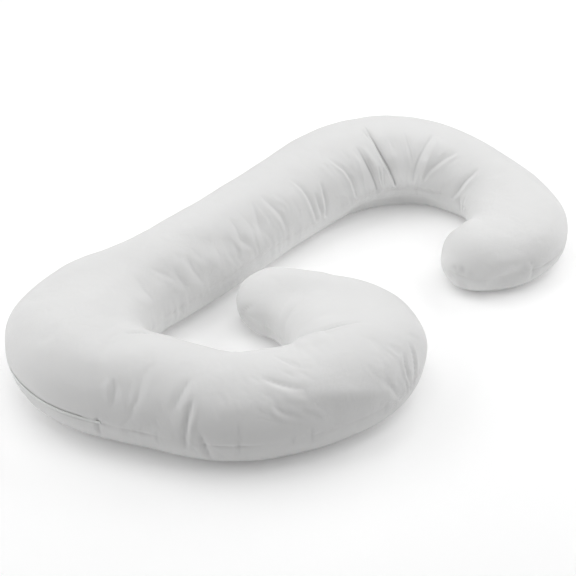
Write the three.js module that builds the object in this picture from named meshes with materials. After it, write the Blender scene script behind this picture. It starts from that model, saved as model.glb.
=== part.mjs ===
// A long body pillow in a C shape with a hook at each end, lying on its back on a flat surface.
// Two white cloth panels are sewn together round the rim and stuffed, and a zip lies in the rim
// seam on the outside of the leg bend.
// Millimetres. +Z is up, +Y runs towards the head hook, and both hooks open towards +X.
import * as THREE from "three";

// Driving dimensions.
const overallLength = 1400; // outside length over both hooks, along Y
const seamShare = 0.45; // height of the rim seam, as a share of the pillow's height there
const seamDepth = 3.5; // how far the thread draws the rim seam in
const seamReach = 10; // half height of the drawn-in strip along the seam
const zipDepth = 6; // how far the cloth is drawn in where the zip lies
const zipFrom = 1655; // start of the zip, as a distance along the middle line
const zipTo = 2050; // end of the zip, as a distance along the middle line
const tapeHigh = 8; // height of the zip tape that shows between the lips of cloth
const tapeThick = 1.2;
const coilHigh = 4; // height of the closed row of teeth
const coilThick = 1.6;
const clear = 0.4; // gap between two neighbouring pieces

// Shape of the stuffed section: 1 is a true ellipse, less is fuller.
const sidePower = 0.92;
const topPower = 0.97;
const underPower = 0.92;
const underDrop = 1.22; // how far the free section would sink below the surface that flattens it
const tipPower = 2.2; // roundness of the two tips in plan
const tipShare = 0.5; // length of a tip's rounding, as a share of its width

const webFill = 0.35; // how much fuller the shoulder is in the middle of a web

// How finely the surface is drawn.
const ringCount = 144; // rings between the two tips
const tipRings = 7; // extra rings on each tip
const turnCount = 36; // points round one ring
const seamCrowd = 0.5; // how much closer those points lie beside the seam

// The pillow's middle line and its size, from the head tip round to the leg tip. The smooth path
// is drawn in towards these points, as a blended curve is.
const stations = [
  { x: 130, y: 310, wide: 175, high: 140 }, // head tip
  { x: 250, y: 395, wide: 175, high: 140 },
  { x: 255, y: 535, wide: 180, high: 140 },
  { x: 145, y: 600, wide: 185, high: 140 },
  { x: 10, y: 595, wide: 205, high: 160 },
  { x: -125, y: 570, wide: 235, high: 185 }, // head bend
  { x: -220, y: 470, wide: 250, high: 205 },
  { x: -280, y: 335, wide: 245, high: 195 },
  { x: -275, y: 175, wide: 235, high: 185 },
  { x: -270, y: 15, wide: 235, high: 185 }, // straight back
  { x: -265, y: -140, wide: 235, high: 185 },
  { x: -262, y: -280, wide: 240, high: 190 },
  { x: -307, y: -395, wide: 233, high: 175 },
  { x: -303, y: -507, wide: 230, high: 180 },
  { x: -227, y: -585, wide: 230, high: 195 }, // leg bend
  { x: -105, y: -588, wide: 240, high: 205 },
  { x: 20, y: -505, wide: 245, high: 205 },
  { x: 168, y: -445, wide: 240, high: 190 },
  { x: 255, y: -303, wide: 235, high: 190 },
  { x: 304, y: -162, wide: 225, high: 185 },
  { x: 268, y: -44, wide: 210, high: 170 },
  { x: 160, y: 4, wide: 195, high: 145 },
  { x: 40, y: -62, wide: 185, high: 135 },
  { x: -92, y: -152, wide: 165, high: 125 }, // leg tip
];

// Cloth that fills the inside corners of the three tight bends. Between two distances along the
// middle line the inner side runs in one smooth sweep. The pulls say how hard that sweep follows
// the tube at its start and at its end.
const webs = [
  { from: 40, to: 508, fromPull: 102, toPull: 136 }, // head hook
  { from: 1450, to: 2100, fromPull: 258, toPull: 329 }, // leg bend
  { from: 2462, to: 3030, fromPull: 128, toPull: 80 }, // leg hook
];

// The main folds. Each is a valley from one place on the cloth to another. A place is a distance
// along the middle line and a turn in degrees round the section: 0 is the side that faces into the
// C, 90 the crown and 180 the outer side. reach is the valley's half width and deep its depth.
const folds = [
  { at: 825, turn: 84, toAt: 768, toTurn: 12, reach: 13, deep: 8 }, // head bend, inner side
  { at: 872, turn: 60, toAt: 842, toTurn: 10, reach: 12, deep: 5 },
  { at: 965, turn: 62, toAt: 938, toTurn: 8, reach: 13, deep: 6 },
  { at: 1040, turn: 48, toAt: 1044, toTurn: 5, reach: 12, deep: 4 },
  { at: 1097, turn: 64, toAt: 1094, toTurn: 10, reach: 13, deep: 5 },
  { at: 1203, turn: 58, toAt: 1188, toTurn: 14, reach: 14, deep: 5 },
  { at: 712, turn: 66, toAt: 702, toTurn: 28, reach: 12, deep: 4 },
  { at: 655, turn: 76, toAt: 682, toTurn: 26, reach: 12, deep: 4 },
  { at: 560, turn: 72, toAt: 632, toTurn: 22, reach: 13, deep: 5 },
  { at: 488, turn: 68, toAt: 524, toTurn: 6, reach: 13, deep: 6 },
  { at: 1511, turn: 47, toAt: 1483, toTurn: 16, reach: 16, deep: 3 }, // straight back
  { at: 1640, turn: 50, toAt: 1770, toTurn: 30, reach: 18, deep: 3 },
  { at: 2112, turn: 52, toAt: 2066, toTurn: 72, reach: 14, deep: 4 }, // leg bend
  { at: 2060, turn: 130, toAt: 2088, toTurn: 155, reach: 16, deep: 4 },
  { at: 2186, turn: 116, toAt: 2238, toTurn: 160, reach: 16, deep: 4 },
  { at: 2378, turn: 106, toAt: 2426, toTurn: 126, reach: 13, deep: 4 },
  { at: 2563, turn: 30, toAt: 2656, toTurn: 80, reach: 13, deep: 5 }, // inside of the leg hook
];

const cloth = new THREE.MeshStandardMaterial({ color: 0xf1f1f0, roughness: 0.92 });
const woven = new THREE.MeshStandardMaterial({ color: 0xd9dbd9, roughness: 0.9 });
const teeth = new THREE.MeshStandardMaterial({ color: 0xcdd0cd, roughness: 0.5 });

// Value of one column of the stations at a place from 0 to 1: a uniform cubic B-spline.
function stationValue(column, place) {
  const last = stations.length - 1;
  const span = Math.min(place * last, last - 1e-9);
  const first = Math.floor(span);
  const w = span - first;
  const value = (row) => {
    if (row < 0) return 2 * stations[0][column] - stations[1][column];
    if (row > last) return 2 * stations[last][column] - stations[last - 1][column];
    return stations[row][column];
  };
  return (
    (value(first - 1) * (1 - w) ** 3 +
      value(first) * (3 * w ** 3 - 6 * w ** 2 + 4) +
      value(first + 1) * (3 * w + 3 * w ** 2 - 3 * w ** 3 + 1) +
      value(first + 2) * w ** 3) /
    6
  );
}

// The middle line as many short steps, with the distance covered up to each.
function measuredLine(steps) {
  const line = [{ place: 0, at: 0 }];
  let x = stationValue("x", 0);
  let y = stationValue("y", 0);
  for (let i = 1; i <= steps; i += 1) {
    const place = i / steps;
    const nextX = stationValue("x", place);
    const nextY = stationValue("y", place);
    line.push({ place, at: line[i - 1].at + Math.hypot(nextX - x, nextY - y) });
    x = nextX;
    y = nextY;
  }
  return line;
}

const line = measuredLine(4000);
const lineLength = line[line.length - 1].at;

// Place from 0 to 1 on the stations for a distance along the middle line.
function placeAt(at) {
  let low = 0;
  let high = line.length - 1;
  while (high - low > 1) {
    const middle = (low + high) >> 1;
    if (line[middle].at <= at) low = middle;
    else high = middle;
  }
  const share = (at - line[low].at) / (line[high].at - line[low].at);
  return line[low].place + (line[high].place - line[low].place) * share;
}

// How much of the full section is left near a tip.
function tipShareLeft(distance, length) {
  const short = 1 - Math.min(distance / length, 1);
  return (1 - short ** tipPower) ** (1 / tipPower);
}

const headRound = stations[0].wide * tipShare;
const legRound = stations[stations.length - 1].wide * tipShare;

// Where the tube is at a distance along the middle line, how it faces and how big it is there.
function tubeAt(at) {
  const place = placeAt(Math.min(Math.max(at, 0), lineLength));
  const before = Math.max(place - 1e-4, 0);
  const after = Math.min(place + 1e-4, 1);
  const dx = stationValue("x", after) - stationValue("x", before);
  const dy = stationValue("y", after) - stationValue("y", before);
  const step = Math.hypot(dx, dy);
  return {
    at,
    x: stationValue("x", place),
    y: stationValue("y", place),
    innerX: -dy / step, // points to the side that faces into the C
    innerY: dx / step,
    wide: stationValue("wide", place),
    high: stationValue("high", place),
  };
}

// The tube's own inner side, half its width from the middle line.
function plainSide(at) {
  const { x, y, innerX, innerY, wide } = tubeAt(at);
  return new THREE.Vector2(x + (innerX * wide) / 2, y + (innerY * wide) / 2);
}

// Each web's two ends on the tube's own inner side, with the direction and pull of the sweep there.
const sweeps = webs.map((web) => {
  const first = plainSide(web.from);
  const last = plainSide(web.to);
  const leave = plainSide(web.from + 4).sub(first).setLength(web.fromPull);
  const arrive = last.clone().sub(plainSide(web.to - 4)).setLength(web.toPull);
  return { from: web.from, to: web.to, first, last, leave, arrive };
});

// The inner side with the webs: the tube's own side, or a sweep across a corner.
function innerSide(at) {
  const sweep = sweeps.find(({ from, to }) => at > from && at < to);
  if (!sweep) return plainSide(at);
  const u = (at - sweep.from) / (sweep.to - sweep.from);
  return sweep.first
    .clone()
    .multiplyScalar(2 * u ** 3 - 3 * u ** 2 + 1)
    .addScaledVector(sweep.leave, u ** 3 - 2 * u ** 2 + u)
    .addScaledVector(sweep.last, 3 * u ** 2 - 2 * u ** 3)
    .addScaledVector(sweep.arrive, u ** 3 - u ** 2);
}

// How far the shoulder is filled out: 0 at the ends of a web and 1 in its middle.
function fullness(at) {
  const web = webs.find(({ from, to }) => at > from && at < to);
  if (!web) return 0;
  const u = (at - web.from) / (web.to - web.from);
  return (4 * u * (1 - u)) ** 1.5;
}

// The section at a distance along the middle line, with the steps from there to its two sides.
function sectionAt(at) {
  const tube = tubeAt(at);
  const side = innerSide(at);
  return {
    ...tube,
    toInner: [side.x - tube.x, side.y - tube.y],
    toOuter: [(-tube.innerX * tube.wide) / 2, (-tube.innerY * tube.wide) / 2],
    fill: webFill * fullness(at),
    left: tipShareLeft(at, headRound) * tipShareLeft(lineLength - at, legRound),
  };
}

// Point of the smooth, unfolded cloth at a turn in radians round a section.
function smoothPoint(section, turn) {
  const seam = section.high * seamShare;
  const across = Math.cos(turn);
  const lift = Math.sin(turn);
  const fill = across > 0 && lift > 0 ? section.fill : 0;
  const [sideX, sideY] = across > 0 ? section.toInner : section.toOuter;
  const reach = section.left * Math.abs(across) ** (sidePower - fill);
  const rise =
    lift > 0
      ? (section.high - seam) * lift ** (topPower - fill)
      : -seam * underDrop * Math.abs(lift) ** underPower;
  return new THREE.Vector3(
    section.x + sideX * reach,
    section.y + sideY * reach,
    Math.max(seam + rise * section.left, 0),
  );
}

// Depth of one fold at a place on the cloth, with a low swell of cloth on each side of the valley.
function foldDepth(fold, at, degrees, perDegree) {
  const runX = fold.toAt - fold.at;
  const runY = (fold.toTurn - fold.turn) * perDegree;
  const fromX = at - fold.at;
  const fromY = (degrees - fold.turn) * perDegree;
  const length = Math.hypot(runX, runY);
  const share = (fromX * runX + fromY * runY) / length ** 2;
  if (share < 0 || share > 1) return 0;
  const off = Math.abs(fromX * runY - fromY * runX) / length / fold.reach;
  const fade = 1 - Math.abs(2 * share - 1) ** 4;
  return fold.deep * fade * (Math.exp(-(off ** 2)) - 0.3 * Math.exp(-((off - 1.9) ** 2) * 2));
}

// 0 below the first limit, 1 above the second and smooth between.
function ease(value, first, second) {
  const share = Math.min(Math.max((value - first) / (second - first), 0), 1);
  return share * share * (3 - 2 * share);
}

// How far the cloth is drawn in at a place: the rim seam, the zip and the folds together.
function drawnIn(section, turn, point) {
  const fromSeam = Math.abs(point.z - section.high * seamShare);
  const outer = Math.cos(turn) < 0;
  const inZip = outer && section.at > zipFrom - 15 && section.at < zipTo + 15;
  const seam = (inZip ? zipDepth : seamDepth) * Math.exp(-((fromSeam / seamReach) ** 2) * 2);
  const degrees = THREE.MathUtils.radToDeg(turn);
  const perDegree = ((section.wide + section.high) * 1.5) / 360;
  let depth = seam * section.left;
  for (const fold of folds) depth += foldDepth(fold, section.at, degrees, perDegree);
  return depth * ease(point.z, 0, 25);
}

// Distances along the middle line at which a ring is drawn, closer together on the tips.
function ringDistances() {
  const distances = [];
  const round = (i) => 1 - Math.cos((i / (tipRings + 1)) * (Math.PI / 2));
  for (let i = 1; i <= tipRings; i += 1) distances.push(round(i) * headRound);
  for (let i = 0; i < ringCount; i += 1) {
    const straight = lineLength - headRound - legRound;
    distances.push(headRound + (straight * i) / (ringCount - 1));
  }
  for (let i = tipRings; i >= 1; i -= 1) distances.push(lineLength - round(i) * legRound);
  return distances;
}

// Turns in radians at which each ring has a point, closer together beside the seam.
function ringTurns() {
  const turns = [];
  for (let i = 0; i < turnCount; i += 1) {
    const even = (i / turnCount) * 2 * Math.PI;
    turns.push(even - (seamCrowd / 2) * Math.sin(2 * even));
  }
  return turns;
}

// The stuffed body as rings of points, with the point of each tip.
function bodyRings() {
  const distances = ringDistances();
  const turns = ringTurns();
  const sections = distances.map(sectionAt);
  const smooth = sections.map((section) => turns.map((turn) => smoothPoint(section, turn)));
  const rings = smooth.map((ring, i) =>
    ring.map((point, j) => {
      const next = smooth[Math.min(i + 1, smooth.length - 1)][j];
      const last = smooth[Math.max(i - 1, 0)][j];
      const along = next.clone().sub(last);
      const up = ring[(j + 1) % turnCount].clone().sub(ring[(j + turnCount - 1) % turnCount]);
      const outward = up.cross(along).normalize();
      const folded = point.clone().addScaledVector(outward, -drawnIn(sections[i], turns[j], point));
      if (point.z === 0) folded.z = 0;
      folded.z = Math.max(folded.z, 0);
      return folded;
    }),
  );
  const tips = [sectionAt(0), sectionAt(lineLength)].map(
    (section) => new THREE.Vector3(section.x, section.y, section.high * seamShare),
  );
  return { rings, tips };
}

// A closed mesh from rings of equal length, closed at each end by one point.
function skinOver(rings, tips) {
  const count = rings[0].length;
  const points = [...rings.flat(), ...tips];
  const headTip = points.length - 2;
  const legTip = points.length - 1;
  const lastRing = (rings.length - 1) * count;
  const faces = [];
  for (let j = 0; j < count; j += 1) {
    const k = (j + 1) % count;
    faces.push(headTip, k, j);
    faces.push(legTip, lastRing + j, lastRing + k);
    for (let i = 0; i < rings.length - 1; i += 1) {
      const a = i * count;
      const b = a + count;
      faces.push(a + j, a + k, b + j);
      faces.push(b + j, a + k, b + k);
    }
  }
  return meshGeometry(points, faces);
}

// Geometry from a list of points and a list of corner numbers.
function meshGeometry(points, faces) {
  const geometry = new THREE.BufferGeometry();
  geometry.setAttribute(
    "position",
    new THREE.Float32BufferAttribute(points.flatMap((point) => point.toArray()), 3),
  );
  geometry.setIndex(faces);
  geometry.computeVertexNormals();
  return geometry;
}

// A strip that follows the outer rim, with a section of corners given as steps in and up.
function rimStrip(from, to, corners) {
  const steps = Math.ceil((to - from) / 10);
  const rings = [];
  for (let i = 0; i <= steps; i += 1) {
    const section = sectionAt(from + ((to - from) * i) / steps);
    const rim = section.wide / 2;
    rings.push(
      corners.map(
        ([inward, up]) =>
          new THREE.Vector3(
            section.x - section.innerX * (rim - inward),
            section.y - section.innerY * (rim - inward),
            section.high * seamShare + up,
          ),
      ),
    );
  }
  const middle = (ring) =>
    ring.reduce((sum, point) => sum.add(point), new THREE.Vector3()).divideScalar(ring.length);
  return skinOver(rings, [middle(rings[0]), middle(rings[rings.length - 1])]);
}

// The corners of a rectangle with small chamfers, from inside to outside.
function stripCorners(inner, outer, high) {
  const half = high / 2;
  const bevel = (inner - outer) * 0.3;
  return [
    [inner, -half],
    [inner, half],
    [outer + bevel, half],
    [outer, half - bevel],
    [outer, -half + bevel],
    [outer + bevel, -half],
  ];
}

function namedMesh(name, geometry, material) {
  const mesh = new THREE.Mesh(geometry, material);
  mesh.name = name;
  return mesh;
}

// Brings a body and its trim to the overall length, with the middle of their base at the origin.
function placed(body, trim) {
  const meshes = [body, ...trim];
  const whole = new THREE.Box3();
  for (const mesh of meshes) whole.expandByObject(mesh);
  const centre = whole.getCenter(new THREE.Vector3());
  const length = new THREE.Box3().setFromObject(body).getSize(new THREE.Vector3()).y;
  const grow = overallLength / length;
  for (const mesh of meshes) {
    mesh.geometry.translate(-centre.x, -centre.y, 0);
    mesh.geometry.scale(grow, grow, grow);
  }
  return meshes;
}

const { rings, tips } = bodyRings();
const pillow = namedMesh("pillow", skinOver(rings, tips), cloth);

// The tape lies in the drawn-in seam, and the teeth in front of it.
const tapeInner = 3; // how far the tape's back lies inside the rim
const tapeOuter = tapeInner - tapeThick;
const coilInner = tapeOuter - clear;
const tape = namedMesh(
  "zip_tape",
  rimStrip(zipFrom, zipTo, stripCorners(tapeInner, tapeOuter, tapeHigh)),
  woven,
);
const coil = namedMesh(
  "zip_coil",
  rimStrip(zipFrom, zipTo, stripCorners(coilInner, coilInner - coilThick, coilHigh)),
  teeth,
);

const group = new THREE.Group();
group.name = "pregnancy_pillow";
group.add(...placed(pillow, [tape, coil]));

export default group;
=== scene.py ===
"""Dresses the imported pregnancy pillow: its stitched cloth cover, the zip in its rim and a plain studio."""

import logging
import math
from dataclasses import dataclass, field
from enum import Enum

import bpy
import numpy as np
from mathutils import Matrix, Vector, noise


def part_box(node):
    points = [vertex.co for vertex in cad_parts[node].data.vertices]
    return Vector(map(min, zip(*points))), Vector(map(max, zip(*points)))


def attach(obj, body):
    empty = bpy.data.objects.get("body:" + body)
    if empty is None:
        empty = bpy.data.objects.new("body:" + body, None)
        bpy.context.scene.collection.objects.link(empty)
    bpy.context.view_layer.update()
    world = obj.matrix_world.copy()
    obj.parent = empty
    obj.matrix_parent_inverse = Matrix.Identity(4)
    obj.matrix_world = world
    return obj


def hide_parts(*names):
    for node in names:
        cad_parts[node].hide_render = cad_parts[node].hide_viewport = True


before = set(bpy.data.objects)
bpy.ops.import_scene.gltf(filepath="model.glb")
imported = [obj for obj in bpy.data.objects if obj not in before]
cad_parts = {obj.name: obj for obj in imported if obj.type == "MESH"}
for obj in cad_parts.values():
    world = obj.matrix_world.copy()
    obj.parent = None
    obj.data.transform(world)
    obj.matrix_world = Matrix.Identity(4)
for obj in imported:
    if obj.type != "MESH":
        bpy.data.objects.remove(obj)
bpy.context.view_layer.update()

LOG = logging.getLogger("pregnancy_pillow")
MM = 0.001
BODY = "root"

# The tube's usual radius, and the zip's two ends along the middle line, in millimetres.
TUBE_RADIUS = 105.0
ZIP_START = 1655.0
ZIP_END = 2050.0


class Slot(Enum):
    """The record's material slots."""

    COVER = "cover"
    ZIP_TAPE = "zip_tape"
    ZIP_TEETH = "zip_teeth"


def eased(share: np.ndarray) -> np.ndarray:
    """Lets shares from 0 to 1 start and end gently."""
    return share * share * (3 - 2 * share)


def spline_shares(part: np.ndarray) -> np.ndarray:
    """What four neighbours in a row add to a smooth blend between the middle two.

    Args:
        part: How far along each place is from the second neighbour to the third, from 0 to 1.

    Returns:
        Four rows of shares, in sixths.
    """
    return np.stack([
        (1 - part) ** 3,
        3 * part**3 - 6 * part**2 + 4,
        3 * part + 3 * part**2 - 3 * part**3 + 1,
        part**3,
    ])


def placed(name: str, data: bpy.types.ID) -> bpy.types.Object:
    """Makes an object of a mesh, light or camera and puts it in the scene.

    Args:
        name: The object's name.
        data: The mesh, light or camera.

    Returns:
        The object.
    """
    made = bpy.data.objects.new(name, data)
    bpy.context.scene.collection.objects.link(made)
    return made


def smooth_mesh(name: str, points: list, faces: list) -> bpy.types.Mesh:
    """Makes a smooth-shaded mesh.

    Args:
        name: The mesh's name.
        points: Rows of x, y and z in metres.
        faces: The numbers of each face's points.

    Returns:
        The mesh.
    """
    made = bpy.data.meshes.new(name)
    made.from_pydata(points, [], faces)
    made.polygons.foreach_set("use_smooth", [True] * len(made.polygons))
    made.update()
    return made


def corner_points(made: bpy.types.Mesh) -> np.ndarray:
    """Numbers of the points at a mesh's face corners, in order."""
    corners = np.empty(len(made.loops), int)
    made.loops.foreach_get("vertex_index", corners)
    return corners


@dataclass(frozen=True)
class Station:
    """One place on the pillow's middle line, with the size of the tube there, in millimetres."""

    x: float
    y: float
    wide: float
    high: float


STATIONS = (
    Station(130, 310, 175, 140),
    Station(250, 395, 175, 140),
    Station(255, 535, 180, 140),
    Station(145, 600, 185, 140),
    Station(10, 595, 205, 160),
    Station(-125, 570, 235, 185),
    Station(-220, 470, 250, 205),
    Station(-280, 335, 245, 195),
    Station(-275, 175, 235, 185),
    Station(-270, 15, 235, 185),
    Station(-265, -140, 235, 185),
    Station(-262, -280, 240, 190),
    Station(-307, -395, 233, 175),
    Station(-303, -507, 230, 180),
    Station(-227, -585, 230, 195),
    Station(-105, -588, 240, 205),
    Station(20, -505, 245, 205),
    Station(168, -445, 240, 190),
    Station(255, -303, 235, 190),
    Station(304, -162, 225, 185),
    Station(268, -44, 210, 170),
    Station(160, 4, 195, 145),
    Station(40, -62, 185, 135),
    Station(-92, -152, 165, 125),
)


@dataclass(frozen=True)
class Web:
    """Cloth that fills the inside corner of a tight bend, in millimetres.

    start and end are distances along the middle line. Between them the inner side runs in one smooth
    sweep. The two pulls say how hard that sweep follows the tube at each end, whose direction is
    taken over the length lead.
    """

    start: float
    end: float
    start_pull: float
    end_pull: float
    lead: float = 4.0

    def share(self, at: np.ndarray) -> np.ndarray:
        """How far along the web each distance lies, from 0 to 1."""
        return np.clip((at - self.start) / (self.end - self.start), 0, 1)

    def sweep(self, at: np.ndarray, side: np.ndarray, distances: np.ndarray) -> np.ndarray:
        """The inner side across the corner.

        Args:
            at: Distances inside the web.
            side: Places on the inner side without the web.
            distances: Their distances.

        Returns:
            Rows of x and y.
        """
        ends = [np.array([np.interp(d, distances, side[:, k]) for k in (0, 1)])
                for d in (self.start, self.start + self.lead, self.end - self.lead, self.end)]
        first, last = ends[0], ends[3]
        leave = (ends[1] - first) / np.linalg.norm(ends[1] - first) * self.start_pull
        arrive = (last - ends[2]) / np.linalg.norm(last - ends[2]) * self.end_pull
        u = self.share(at)[:, None]
        return ((2 * u**3 - 3 * u**2 + 1) * first + (u**3 - 2 * u**2 + u) * leave
                + (3 * u**2 - 2 * u**3) * last + (u**3 - u**2) * arrive)


WEBS = (
    Web(40, 508, 102, 136),
    Web(1450, 2100, 258, 329),
    Web(2462, 3030, 128, 80),
)


@dataclass
class Tube:
    """The smooth stuffed tube under every fold, in millimetres, as the solid behind it is swept.

    The powers shape its section: the sides, the upper half, the under half and the tips. steps,
    bend_marks, box_rings and box_turns say how finely it is measured, and lead_along and
    lead_around over what length and turn its outward directions are taken.
    """

    stations: tuple[Station, ...] = STATIONS
    webs: tuple[Web, ...] = WEBS
    seam_share: float = 0.45
    side_power: float = 0.92
    top_power: float = 0.97
    under_power: float = 0.92
    under_drop: float = 1.22
    web_fill: float = 0.35
    tip_power: float = 2.2
    tip_share: float = 0.5
    steps: int = 6000
    bend_marks: int = 800
    box_rings: int = 900
    box_turns: int = 72
    lead_along: float = 1.5
    lead_around: float = 0.01
    places: np.ndarray = field(init=False)
    distances: np.ndarray = field(init=False)
    inner_side: np.ndarray = field(init=False)

    def __post_init__(self) -> None:
        """Measures the middle line and lays out the tube's inner side, webs included."""
        self.places = np.linspace(0.0, 1.0, self.steps)
        x, y = self.column("x", self.places), self.column("y", self.places)
        self.distances = np.r_[0.0, np.cumsum(np.hypot(np.diff(x), np.diff(y)))]
        across = self.sideways(self.distances) * self.half_width(self.distances)[:, None]
        plain = self.middle(self.distances) + across
        self.inner_side = plain.copy()
        for web in self.webs:
            inside = (self.distances > web.start) & (self.distances < web.end)
            self.inner_side[inside] = web.sweep(self.distances[inside], plain, self.distances)

    @property
    def length(self) -> float:
        """Length of the middle line."""
        return float(self.distances[-1])

    def column(self, name: str, place: np.ndarray) -> np.ndarray:
        """Smooth values of one column of the stations, as a uniform cubic B-spline.

        Args:
            name: The station's field.
            place: Places from 0 to 1 along the stations.

        Returns:
            One value for each place.
        """
        rows = np.array([getattr(station, name) for station in self.stations], float)
        rows = np.r_[2 * rows[0] - rows[1], rows, 2 * rows[-1] - rows[-2]]
        last = len(self.stations) - 1
        span = np.clip(place * last, 0, last - 1e-9)
        first = np.floor(span).astype(int)
        shares = spline_shares(span - first)
        return sum(rows[first + i] * shares[i] for i in range(4)) / 6

    def middle(self, at: np.ndarray) -> np.ndarray:
        """Places on the middle line, as rows of x and y."""
        place = np.interp(at, self.distances, self.places)
        return np.stack([self.column("x", place), self.column("y", place)], -1)

    def sideways(self, at: np.ndarray) -> np.ndarray:
        """Level directions across the middle line towards turn 0.

        Args:
            at: Distances along the middle line.

        Returns:
            Rows of x and y, each of length 1.
        """
        place = np.interp(at, self.distances, self.places)
        before, after = np.maximum(place - 1e-4, 0), np.minimum(place + 1e-4, 1)
        dx = self.column("x", after) - self.column("x", before)
        dy = self.column("y", after) - self.column("y", before)
        return np.stack([-dy, dx], -1) / np.hypot(dx, dy)[:, None]

    def half_width(self, at: np.ndarray) -> np.ndarray:
        """Half the tube's width along the middle line, without the webs."""
        return self.column("wide", np.interp(at, self.distances, self.places)) / 2

    def fullness(self, at: np.ndarray) -> np.ndarray:
        """How far the inner shoulder is filled out into its corner.

        Args:
            at: Distances along the middle line.

        Returns:
            0 away from the webs and 1 in the middle of one.
        """
        full = np.zeros_like(at)
        for web in self.webs:
            full = np.maximum(full, (4 * web.share(at) * (1 - web.share(at))) ** 1.5)
        return full

    def tip_lengths(self) -> tuple[float, float]:
        """How much of the middle line the head tip and the leg tip take up."""
        return self.stations[0].wide * self.tip_share, self.stations[-1].wide * self.tip_share

    def left_at_tips(self, at: np.ndarray) -> np.ndarray:
        """Share of the full section that is left near the two tips.

        Args:
            at: Distances along the middle line.

        Returns:
            1 between the tips, falling to 0 at each.
        """
        left = np.ones_like(at)
        for distance, tip in zip((at, self.length - at), self.tip_lengths()):
            short = 1 - np.clip(distance / tip, 0, 1)
            left = left * np.maximum(1 - short**self.tip_power, 0) ** (1 / self.tip_power)
        return left

    def points(self, at: np.ndarray, turn: np.ndarray) -> np.ndarray:
        """Places on the smooth cloth.

        Args:
            at: Distances along the middle line.
            turn: Turns round the section in radians: 0 faces into the C, a quarter turn is the crown.

        Returns:
            One row of x, y and z for each pair.
        """
        high = self.column("high", np.interp(at, self.distances, self.places))
        left = self.left_at_tips(at)
        seam = high * self.seam_share
        across, lift = np.cos(turn), np.sin(turn)
        filled = np.where((across > 0) & (lift > 0), self.fullness(at), 0.0)
        over = (high - seam) * left * np.abs(lift) ** (self.top_power - self.web_fill * filled)
        under = -seam * self.under_drop * left * np.abs(lift) ** self.under_power
        z = np.maximum(seam + np.where(lift > 0, over, under), 0)
        middle = self.middle(at)
        reached = [np.interp(at, self.distances, self.inner_side[:, k]) for k in (0, 1)]
        inner = np.stack(reached, -1) - middle
        outer = -self.sideways(at) * self.half_width(at)[:, None]
        share = (left * np.abs(across) ** (self.side_power - self.web_fill * filled))[:, None]
        return np.column_stack([middle + np.where(across[:, None] > 0, inner, outer) * share, z])

    def outward(self, at: np.ndarray, turn: np.ndarray) -> np.ndarray:
        """Directions straight out of the cloth.

        Args:
            at: Distances along the middle line.
            turn: Turns round the section in radians.

        Returns:
            Rows of x, y and z, each of length 1.
        """
        after, before = np.minimum(at + self.lead_along, self.length), np.maximum(at - self.lead_along, 0)
        along = self.points(after, turn) - self.points(before, turn)
        about = self.points(at, turn + self.lead_around) - self.points(at, turn - self.lead_around)
        out = np.cross(about, along)
        size = np.linalg.norm(out, axis=-1, keepdims=True)
        return out / np.maximum(size, 1e-9)

    def bend(self, at: np.ndarray) -> np.ndarray:
        """How sharply the middle line turns towards turn 0.

        Args:
            at: Distances along the middle line.

        Returns:
            Radians for each millimetre.
        """
        marks = np.linspace(0, self.length, self.bend_marks)
        place = np.interp(marks, self.distances, self.places)
        x, y = self.column("x", place), self.column("y", place)
        heading = np.unwrap(np.arctan2(np.gradient(y), np.gradient(x)))
        return np.interp(at, marks, np.gradient(heading, marks))

    def seam_height(self, at: np.ndarray) -> np.ndarray:
        """Height of the rim seam along the middle line."""
        return self.column("high", np.interp(at, self.distances, self.places)) * self.seam_share

    def fitted(self, points: np.ndarray) -> np.ndarray:
        """Brings points from the stations' drawing into the part's own frame, in metres.

        Args:
            points: Rows of x, y and z in millimetres, as drawn.

        Returns:
            The same points in the part's frame, in metres.
        """
        rings = np.linspace(0, self.length, self.box_rings)
        at, turn = np.meshgrid(rings, np.linspace(0, 2 * math.pi, self.box_turns))
        own = self.points(at.ravel(), turn.ravel())
        low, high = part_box("pillow")
        grow = (high.y - low.y) / (own[:, 1].max() - own[:, 1].min())
        middle = (own.max(0) + own.min(0)) / 2
        target = (np.array(high) + np.array(low)) / 2
        out = points * grow
        out[..., :2] += target[:2] - middle[:2] * grow
        return out


@dataclass(frozen=True)
class Fold:
    """One crease in the cloth: a sharp line in a soft valley along a short path.

    Each place on the path is a distance along the middle line and a turn in degrees. reach is the
    valley's half width and deep its depth. start and end are the shares of the depth left at the
    path's two ends, lean moves the raised cloth to one side and swell is its height as a share.
    """

    path: tuple[tuple[float, float], ...]
    reach: float
    deep: float
    lean: float = 0.0
    swell: float = 0.3
    start: float = 0.0
    end: float = 0.0


@dataclass(frozen=True)
class Swell:
    """A soft rise of the stuffing, or a dip where lift is negative, along a short path."""

    path: tuple[tuple[float, float], ...]
    reach: float
    lift: float


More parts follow.
